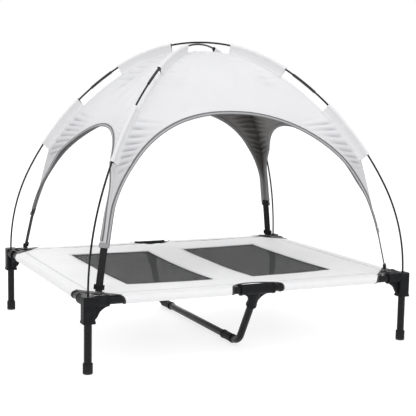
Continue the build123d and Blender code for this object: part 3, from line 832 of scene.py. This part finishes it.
bows = {"a": pole_bow(POLE_APEX + CROSSING_STEP), "b": pole_bow(POLE_APEX - CROSSING_STEP)}
middle_bow = pole_bow(POLE_APEX)
ARM_POLE = {"bl": "a", "fr": "a", "fl": "b", "br": "b"}

# ---- Shade ---------------------------------------------------------------------------------------
# One domed sheet of pale grey polyester, sewn from four gores along the poles. Each gore hangs in a
# slight saddle between its poles, and is cut to an open arch that ends in two narrow tails.

SHADE_CLOTH = 0.0008
SHADE_DROP = 0.021
TAIL_SLOPE = 55.8
TAIL_END = (0.503, 0.290)
TAIL_OPENS = 0.80
TAIL_FACE = (0.962, 0.275)
TAIL_HALF = 0.0131
ARCH_FOOT = 0.250
WIDE_ARCH = {"half": 0.378, "rise": 0.353, "power": 2.15, "saddle": 0.019}
NARROW_ARCH = {"half": 0.309, "rise": 0.313, "power": 2.0, "saddle": 0.016}
GORES = {
    "front": {"arms": ("fl", "fr"), **WIDE_ARCH},
    "right": {"arms": ("fr", "br"), **NARROW_ARCH},
    "back": {"arms": ("br", "bl"), **WIDE_ARCH},
    "left": {"arms": ("bl", "fl"), **NARROW_ARCH},
}
FOLD_SEED = 1.3
LOWER_FOLDS = {"depth": 0.0034, "gap": 0.0185, "foot": (0.445, 0.475), "head": (0.575, 0.60)}
UPPER_FOLDS = {"depth": 0.0021, "gap": 0.034, "head": (0.10, 0.16), "foot": (0.32, 0.40)}
FOLD_PEAK = 0.024
ARCH_SLACK = 0.0016
TAIL_GATHERS = {"depth": 0.0008, "gap": 0.0105, "reach": 0.014}
FOLD_SHADE_DEPTHS = (0.0006, 0.0052)
FOLD_FADE = (0.007, 0.024)
SHADE_ROWS = 196
EDGE_POINTS = 90
ARM_UNIT = {corner: np.array((sx * HALF_L, sy * HALF_W)) / DIAGONAL for corner, (sx, sy) in CORNERS.items()}

ridge_curve = middle_bow(np.linspace(0, TAIL_SLOPE, 240), SHADE_DROP)
ridge_points = np.concatenate([ridge_curve, np.linspace(ridge_curve[-1], TAIL_END, 90)[1:]])
ridge_walked = walked_along(ridge_points)
RIDGE_LENGTH = ridge_walked[-1]


def ridge(down):
    """Distance out and height of the shade's ridge, that share of the way from crown to tail."""
    return tuple(np.interp(down * RIDGE_LENGTH, ridge_walked, ridge_points[:, axis]) for axis in (0, 1))


def ramp(value, low, high):
    """Smooth step from 0 to 1."""
    share = np.clip((value - low) / (high - low), 0, 1)
    return share * share * (3 - 2 * share)


def gore_point(gore, turn, down):
    """A place on a gore: turn runs from -1 on one arm to 1 on the next, down from 0 at the crown to 1
    at the tails. Gives the point, the way it faces and its distance along the gore from the middle."""
    first, second = (ARM_UNIT[arm] for arm in gore["arms"])
    out_way = unit(first + second)
    half_out = float(first @ out_way)
    along_way = unit(second - first)
    half_along = float(second @ along_way)
    out, height = ridge(down)
    step = 0.002
    out_2, height_2 = ridge(np.minimum(down + step, 1.0))
    out_1, height_1 = ridge(np.maximum(down - step, 0.0))
    slope_out, slope_up = (out_2 - out_1) * half_out, height_2 - height_1
    size = np.hypot(slope_out, slope_up)
    face_out, face_up = -slope_up / size, slope_out / size
    saddle = gore["saddle"] * (1 - turn**4) * ramp(down, 0.02, 0.45) * (1 - ramp(down, 0.86, 1.0))
    along = turn * out * half_along
    across = out * half_out - face_out * saddle
    z = height - face_up * saddle
    x, y = (along * along_way[axis] + across * out_way[axis] for axis in (0, 1))
    point = np.stack([x, y, z], axis=-1)
    face = np.stack([face_out * out_way[0], face_out * out_way[1], face_up], axis=-1)
    from_ridge = (1 - np.abs(turn)) * out * half_along
    opened = ramp(down, TAIL_OPENS, 0.985)[..., None]
    for arm, away, here in ((first, along_way, turn < 0), (second, -along_way, turn >= 0)):
        sideways = unit(away - (away @ arm) * arm)
        flat = [arm[axis] * out + sideways[axis] * from_ridge for axis in (0, 1)]
        flat_point = np.stack([*flat, height], axis=-1)
        flat_face = np.array((arm[0] * TAIL_FACE[0], arm[1] * TAIL_FACE[0], TAIL_FACE[1]))
        share = opened * here[..., None]
        point = point * (1 - share) + flat_point * share
        face = unit(face * (1 - share) + flat_face * share)
    return point, face, along, out * half_along


def arch_depth(gore, turn):
    """How far down a line on the gore runs before it meets the arch, or 1 where it ends at the tail."""
    down = np.linspace(0, 1, 1200)
    point, face, along, half = gore_point(gore, np.full_like(down, turn), down)
    rise = np.clip((point[:, 2] - ARCH_FOOT) / gore["rise"], 0, None)
    inside = (np.abs(along) / gore["half"]) ** gore["power"] + rise ** gore["power"] < 1
    inside &= (1 - abs(turn)) * half > TAIL_HALF
    if not inside.any():
        return 1.0
    return down[np.argmax(inside)]


def gore_columns(gore, arch_count, hem_count):
    """Lines down one half of a gore, spaced along its arch and then along its tail."""
    turns = 1 - np.linspace(1, 0, 900) ** 2
    depths = np.array([arch_depth(gore, turn) for turn in turns])
    last = np.argmax(depths >= 1.0)
    walked = walked_along(gore_point(gore, turns[:last], depths[:last])[0])
    spread = np.linspace(0, 1, arch_count) ** 0.9 * walked[-1]
    arch_turns = np.interp(spread, walked, turns[:last])
    arch_depths = np.interp(spread, walked, depths[:last])
    hem_turns = np.linspace(turns[last], 1.0, hem_count)
    return np.concatenate([arch_turns, hem_turns]), np.concatenate([arch_depths, np.ones(hem_count)])


def shade_wrinkles(turn, down, point, half, seed):
    """Small folds, off the surface: pulls beside the sleeves, slack along the arch, gathers in the tail."""
    from_ridge = (1 - np.abs(turn)) * half
    height = point[..., 2]
    side = np.where(turn < 0, 0.0, 2.1) + seed
    near = from_ridge / FOLD_PEAK * np.exp(1 - from_ridge / FOLD_PEAK)
    beside_lower = ramp(height, *LOWER_FOLDS["foot"]) * (1 - ramp(height, *LOWER_FOLDS["head"]))
    tilt = 0.42 - 5.0 * (height - 0.465)
    way_down = (height - tilt * from_ridge) * 2 * pi / LOWER_FOLDS["gap"]
    fold = np.sin(way_down + side + 0.9 * np.sin(height * 61 + side))
    pulls = LOWER_FOLDS["depth"] * near * beside_lower * (fold - 0.4 * fold**2)
    beside_upper = ramp(down, *UPPER_FOLDS["head"]) * (1 - ramp(down, *UPPER_FOLDS["foot"]))
    slant = np.sin(down * RIDGE_LENGTH * 2 * pi / UPPER_FOLDS["gap"] + from_ridge * 55 + side * 1.7)
    smoother = 0.4 if seed == 0 else 1.0
    pulls += UPPER_FOLDS["depth"] * smoother * near * beside_upper * (slant - 0.4 * slant**2)
    slack = np.sin(turn * 5.3 + down * 11 + seed) * np.sin(turn * 9.1 - down * 6.5 + 2.4 * seed)
    slack += 0.5 * np.sin(turn * 14 + down * 23 + seed * 3)
    tail = ramp(down, 0.74, 0.92)
    gathers = TAIL_GATHERS["depth"] * tail * np.exp(-((from_ridge / TAIL_GATHERS["reach"]) ** 4))
    gathers *= np.sin(from_ridge * 2 * pi / TAIL_GATHERS["gap"] + 1.5 * np.sin(down * 17 + seed))
    loose = ramp(from_ridge, 0.0, 0.06) * (1 - tail) * ramp(down, 0.1, 0.4)
    return pulls + ARCH_SLACK * loose * slack + gathers * ramp(from_ridge, 0, 0.003)


shade_cloth = dress_cloth(
    "shade_polyester", (0.69, 0.69, 0.705), (0.635, 0.635, 0.655), 0.0005, 0.58, 0.3, 6.0, Sheen_Weight=0.1,
    Sheen_Roughness=0.4,
)
shade_tree = shade_cloth.node_tree
shade_height = part_of(shade_tree, texture_place(shade_tree), "Z")
# Painted shade: the cloth is drawn greyer lower down, from about 0.60 m to 0.44 m towards the tails, where
# the steep lower gores face away from the light.
low_painted_shade = respan(shade_tree, shade_height, 0.60, 0.44, 0.0, 1.0, interpolation_type="SMOOTHSTEP")
lay_over(shade_cloth, low_painted_shade, (0.52, 0.52, 0.535))
# Painted shade in the folds: the cloth is drawn darker where it lies deep in a fold.
fold_painted_shade = add_node(shade_tree, "ShaderNodeAttribute", attribute_name="crease")
lay_over(shade_cloth, respan(shade_tree, fold_painted_shade.outputs["Fac"], 0, 1, 0.0, 0.6), (0.33, 0.33, 0.35))
lining_cloth = dress_cloth(
    "coated_lining", (0.165, 0.158, 0.152), (0.112, 0.108, 0.105), 0.0005, 0.5, 0.3, 12.0
)
row_downs = np.interp(np.linspace(0, 1.4, SHADE_ROWS), [0, 0.38, 1.18, 1.4], [0, 0.38, 0.78, 1.0])
gore_grids, gore_weaves, gore_fold_shades, arch_edges = [], [], [], {}
for number, (side, gore) in enumerate(GORES.items()):
    half_turns, half_depths = gore_columns(gore, arch_count=27, hem_count=8)
    turns = np.concatenate([-half_turns[::-1], half_turns[1:]])
    depths = np.concatenate([half_depths[::-1], half_depths[1:]])
    down = np.minimum(row_downs[:, None], depths[None])
    turn = np.broadcast_to(turns, down.shape)
    point, face, along, half = gore_point(gore, turn, down)
    on_arch = depths < 1.0
    bound = along_line(point[-1][on_arch], 260)
    to_edge = np.min([np.linalg.norm(point - spot, axis=-1) for spot in bound], axis=0)
    folds = shade_wrinkles(turn, down, point, half, number * FOLD_SEED) * ramp(to_edge, *FOLD_FADE)
    point = point + face * folds[..., None]
    gore_grids.append(point)
    # Painted fold shade: each point's share of it, from how deep the point lies in a fold.
    gore_fold_shades.append(ramp(-folds, *FOLD_SHADE_DEPTHS))
    gore_weaves.append(np.stack([along, down * RIDGE_LENGTH], axis=-1))
    edge = along_line(point[-1][on_arch], EDGE_POINTS)
    walked = walked_along(point[-1][on_arch])
    places = np.linspace(0, walked[-1], EDGE_POINTS)
    edge_turn, edge_down = (np.interp(places, walked, values[on_arch]) for values in (turns, depths))
    upward = unit(gore_point(gore, edge_turn, edge_down - 0.01)[0] - edge)
    beside = np.subtract(*(gore_point(gore, edge_turn + step, edge_down)[0] for step in (0.004, -0.004)))
    edge_face = unit(np.cross(upward, beside))
    edge_face *= np.sign((edge_face * gore_point(gore, edge_turn, edge_down)[1]).sum(axis=-1, keepdims=True))
    forward = unit(np.gradient(edge, axis=0))
    edge_in = np.cross(edge_face, forward)
    edge_in *= np.sign((edge_in * upward).sum(axis=-1, keepdims=True))
    arch_edges[side] = (edge, unit(edge_in), edge_face)
shade_points = np.concatenate(gore_grids, axis=1)
shade_weave = np.concatenate(gore_weaves, axis=1)
canopy_fold_shades = np.concatenate(gore_fold_shades, axis=1)
shade = grid_piece(
    "shade", shade_points[:, ::-1], shade_weave[:, ::-1], shade_cloth, crease=canopy_fold_shades[:, ::-1]
)
shade.data.materials.append(lining_cloth)
thicken(shade, SHADE_CLOTH).material_offset = 1
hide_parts("shade_panel_front", "shade_panel_back", "shade_panel_left", "shade_panel_right")
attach(shade, "canopy")

# ---- Arch binding --------------------------------------------------------------------------------
# Grey woven binding folded over the edge of each arch, pale in the middle with a darker line along
# both of its own edges, and sewn through once.

BINDING_WIDTH = 0.0085
BINDING = 0.0004
BINDING_STAND = 0.0010
BINDING_ROW = (0.0045, 0.0013)

binding_cloth = dress_cloth("grey_binding", (0.42, 0.42, 0.43), (0.32, 0.32, 0.33), 0.0008, 0.7, 0.5)
binding_tree = binding_cloth.node_tree
binding_across = part_of(binding_tree, texture_place(binding_tree, "UV"), "Y")
binding_band = add_node(binding_tree, "ShaderNodeValToRGB", {"Fac": binding_across})
band = binding_band.color_ramp
band.interpolation = "CONSTANT"
band.elements[0].color = (1, 1, 1, 1)
band.elements[1].position = 0.0018
band.elements[1].color = (0, 0, 0, 1)
band.elements.new(0.0072).color = (1, 1, 1, 1)
band.elements.new(0.0105).color = (0.6, 0.6, 0.6, 1)
lay_over(binding_cloth, binding_band.outputs["Color"], (0.13, 0.13, 0.135))

binding_rows = []
for side, (edge, inward, face) in arch_edges.items():
    binding_path = edge - face * SHADE_CLOTH / 2
    binding = folded_tape(
        f"arch_binding_{side}", binding_path, inward, face, BINDING_WIDTH, BINDING_STAND, binding_cloth
    )
    thicken(binding, BINDING)
    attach(binding, "canopy")
    binding_rows.append(edge + inward * BINDING_ROW[0] + face * BINDING_ROW[1])
grey_thread = dress_thread("grey_thread", (0.33, 0.33, 0.34))
fine_stitch = {"pitch": 0.0042, "length": 0.003, "radius": 0.00035}
sew("binding_stitches", binding_rows, grey_thread, "canopy", "shade_cloth", **fine_stitch)

# ---- Pole sleeves --------------------------------------------------------------------------------
# Strips of the shade's cloth, folded round the poles and sewn to the shade's ridge on both sides:
# two on each arm, with the pole bare between them and at the crossing.

SLEEVE_SLOPES = ((11.1, 32.8), (43.7, 55.8))
POLE_SLEEVE_R = 0.0048
POLE_SLEEVE_CLOTH = 0.0006
SLEEVE_WRAP = (-40, 220)
SLEEVE_CREASE = 0.0004
SEWN_FLAP = ((0.0070, -0.0003), (0.0064, 0.0007), (0.0042, 0.0008), (0.0022, 0.0010))
SLEEVE_WEB = ((0.0040, 0.0011), (0.0080, 0.0017))

sleeve_cloth_grey = dress_cloth(
    "sleeve_polyester", (0.69, 0.69, 0.70), (0.63, 0.63, 0.645), 0.0005, 0.6, 0.35, 14.0, Sheen_Weight=0.1
)


def in_plane(arm, spots, side):
    """Points for places, (out, up), in an arm's upright plane, each moved sideways off it."""
    out, up = np.moveaxis(np.asarray(spots), -1, 0)
    outward = ARM_UNIT[arm]
    return np.stack([outward[0] * out + outward[1] * side, outward[1] * out - outward[0] * side, up], axis=-1)


def beside_ridge(arm, hand, down, away, lift):
    """Places on the shade at a distance from an arm's ridge, to one side of it, lifted a little."""
    gores = list(GORES.values())
    number = [gore["arms"][(hand + 1) // 2] for gore in gores].index(arm)
    half = gore_point(gores[number], np.full_like(down, hand), down)[3]
    turn = hand * (1 - away / half)
    point, face, _, half = gore_point(gores[number], turn, down)
    return point + face * (shade_wrinkles(turn, down, point, half, number * FOLD_SEED) + lift)[:, None]


def pole_sleeve(arm, start, end, rows=90):
    """Points along and round one sleeve, and its cloth places."""
    slopes = np.linspace(start, end, rows)
    pole = bows[ARM_POLE[arm]](slopes)
    root = middle_bow(slopes, SHADE_DROP)
    down = np.interp(root[:, 0], ridge_points[:, 0], ridge_walked) / RIDGE_LENGTH
    flap, far_flap = (
        np.stack([beside_ridge(arm, hand, down, away, lift) for away, lift in SEWN_FLAP], axis=1)
        for hand in (1, -1)
    )
    rise = np.linalg.norm(pole - root, axis=1)[:, None]
    upward = (pole - root) / rise
    walked = walked_along(pole)
    along = walked[:, None]
    from_end = np.minimum(along, walked[-1] - along)
    crease = SLEEVE_CREASE * np.sin(along * 2 * pi / 0.041 + 3 * np.sin(along * 31)) * np.sin(along * 23)
    wide = (POLE_SLEEVE_R + crease * 0.6) * (1 + 0.16 * np.exp(-from_end / 0.006))
    wrap = np.radians(np.linspace(*SLEEVE_WRAP, 17))
    web_height, web_side = np.array(SLEEVE_WEB).T
    every = np.ones_like(along)
    height = np.hstack([every * web_height, rise + wide * np.sin(wrap), every * web_height[::-1]])
    side = np.hstack([every * web_side, wide * np.cos(wrap), -every * web_side[::-1]])
    middle = in_plane(arm, root[:, None] + upward[:, None] * height[..., None], side + crease * 1.5)
    points = np.concatenate([flap, middle, far_flap[:, ::-1]], axis=1)
    return points, cloth_places(pole, points[0])


seam_rows = []
for arm in CORNERS:
    for number, (start, end) in enumerate(SLEEVE_SLOPES):
        points, cloth = pole_sleeve(arm, start, end)
        sleeve_name = f"pole_sleeve_{arm}_{number + 1}"
        sleeve = grid_piece(sleeve_name, points[:, ::-1], cloth[:, ::-1], sleeve_cloth_grey)
        sleeve.data.materials.append(lining_cloth)
        thicken(sleeve, POLE_SLEEVE_CLOTH).material_offset = 1
        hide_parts("pole_sleeves")
        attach(sleeve, "canopy")
        seam_rows += [points[:, 2], points[:, -3]]
sew("ridge_stitches", seam_rows, grey_thread, "canopy", "shade_cloth", **fine_stitch)

# ---- Hold-down straps ----------------------------------------------------------------------------
# Black ribbed polypropylene webbing, 20 mm wide, sewn into each tail under a grey band. It runs down
# through a three-bar slider to a box-stitched tab, which lifts off with the canopy.

WEBBING_HALF = 0.010
WEBBING = 0.0014
STRAP_STOPS = ((0.4966, 0.306), (0.5012, 0.2905), (0.5043, 0.2815), (0.526, 0.1875))
TAB_PATH = (
    (0.515, 0.18495), (0.520, 0.18495), (0.5235, 0.1853), (0.526, 0.1859), (0.5285, 0.1853), (0.533, 0.18495),
    (0.541, 0.18495),
)
BAND_PATH = ((0.5013, 0.3005), (0.5029, 0.2950), (0.5046, 0.2890))
BAND_HALF = 0.0139
BAND = 0.0015
STITCH_BOX = ((0.5318, -0.008), (0.5392, -0.008), (0.5392, 0.008), (0.5318, 0.008), (0.5318, -0.008))
STITCH_HEIGHT = 0.1858
WOVEN_EDGE = 0.0003

webbing = dress_cloth(
    "ribbed_webbing", (0.013, 0.013, 0.014), (0.004, 0.004, 0.004), 0.0014, 0.55, 0.8, Specular_IOR_Level=0.2
)
band_cloth = dress_cloth("grey_band", (0.30, 0.30, 0.31), (0.22, 0.22, 0.23), 0.0007, 0.7, 0.5)
finish_nodes(moulding, "strap_slider")


def ribbon(name, arm, path, half_width, thickness, material):
    """A flat strap along a path in an arm's upright plane, with rounded edges."""
    path = np.array(path)
    forward = unit(np.gradient(path, axis=0))
    across = np.stack([forward[:, 1], -forward[:, 0]], axis=-1)
    edge = thickness / 2
    flat = half_width - edge * 0.3
    section = [(-flat, edge), (flat, edge), (half_width, 0), (flat, -edge), (-flat, -edge), (-half_width, 0)]
    section = np.array([*section, section[0]])
    side, up = section.T
    points = in_plane(arm, path[:, None] + across[:, None] * up[:, None], side)
    strap = grid_piece(name, points, cloth_places(path, section), material)
    made = bmesh.new()
    made.from_mesh(strap.data)
    bmesh.ops.holes_fill(made, edges=[edge for edge in made.edges if edge.is_boundary], sides=0)
    bmesh.ops.recalc_face_normals(made, faces=made.faces)
    made.to_mesh(strap.data)
    made.free()
    strap.data.shade_smooth()
    crisp = strap.modifiers.new("woven_edge", "BEVEL")
    crisp.width = WOVEN_EDGE
    crisp.segments = 2
    return strap


strap_rows = []
stitch_outs, stitch_sides = np.array(STITCH_BOX).T
stitch_spots = np.column_stack([stitch_outs, np.full_like(stitch_outs, STITCH_HEIGHT)])
for arm in CORNERS:
    strap_path = along_line(STRAP_STOPS, 60)
    strap = ribbon(f"hold_down_strap_{arm}", arm, strap_path, WEBBING_HALF, WEBBING, webbing)
    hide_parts(f"canopy_strap_{arm}")
    tab = ribbon(f"anchor_tab_{arm}", arm, TAB_PATH, WEBBING_HALF, WEBBING, webbing)
    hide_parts("strap_anchors")
    for piece in (strap, tab):
        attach(piece, "canopy")
    band_piece = ribbon(f"tail_band_{arm}", arm, BAND_PATH, BAND_HALF, BAND, band_cloth)
    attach(band_piece, "canopy")
    strap_rows.append(along_line(in_plane(arm, stitch_spots, stitch_sides), 40))
sew("strap_stitches", strap_rows, pale_thread, "canopy", "webbing", 0.003, 0.0022, 0.0003)
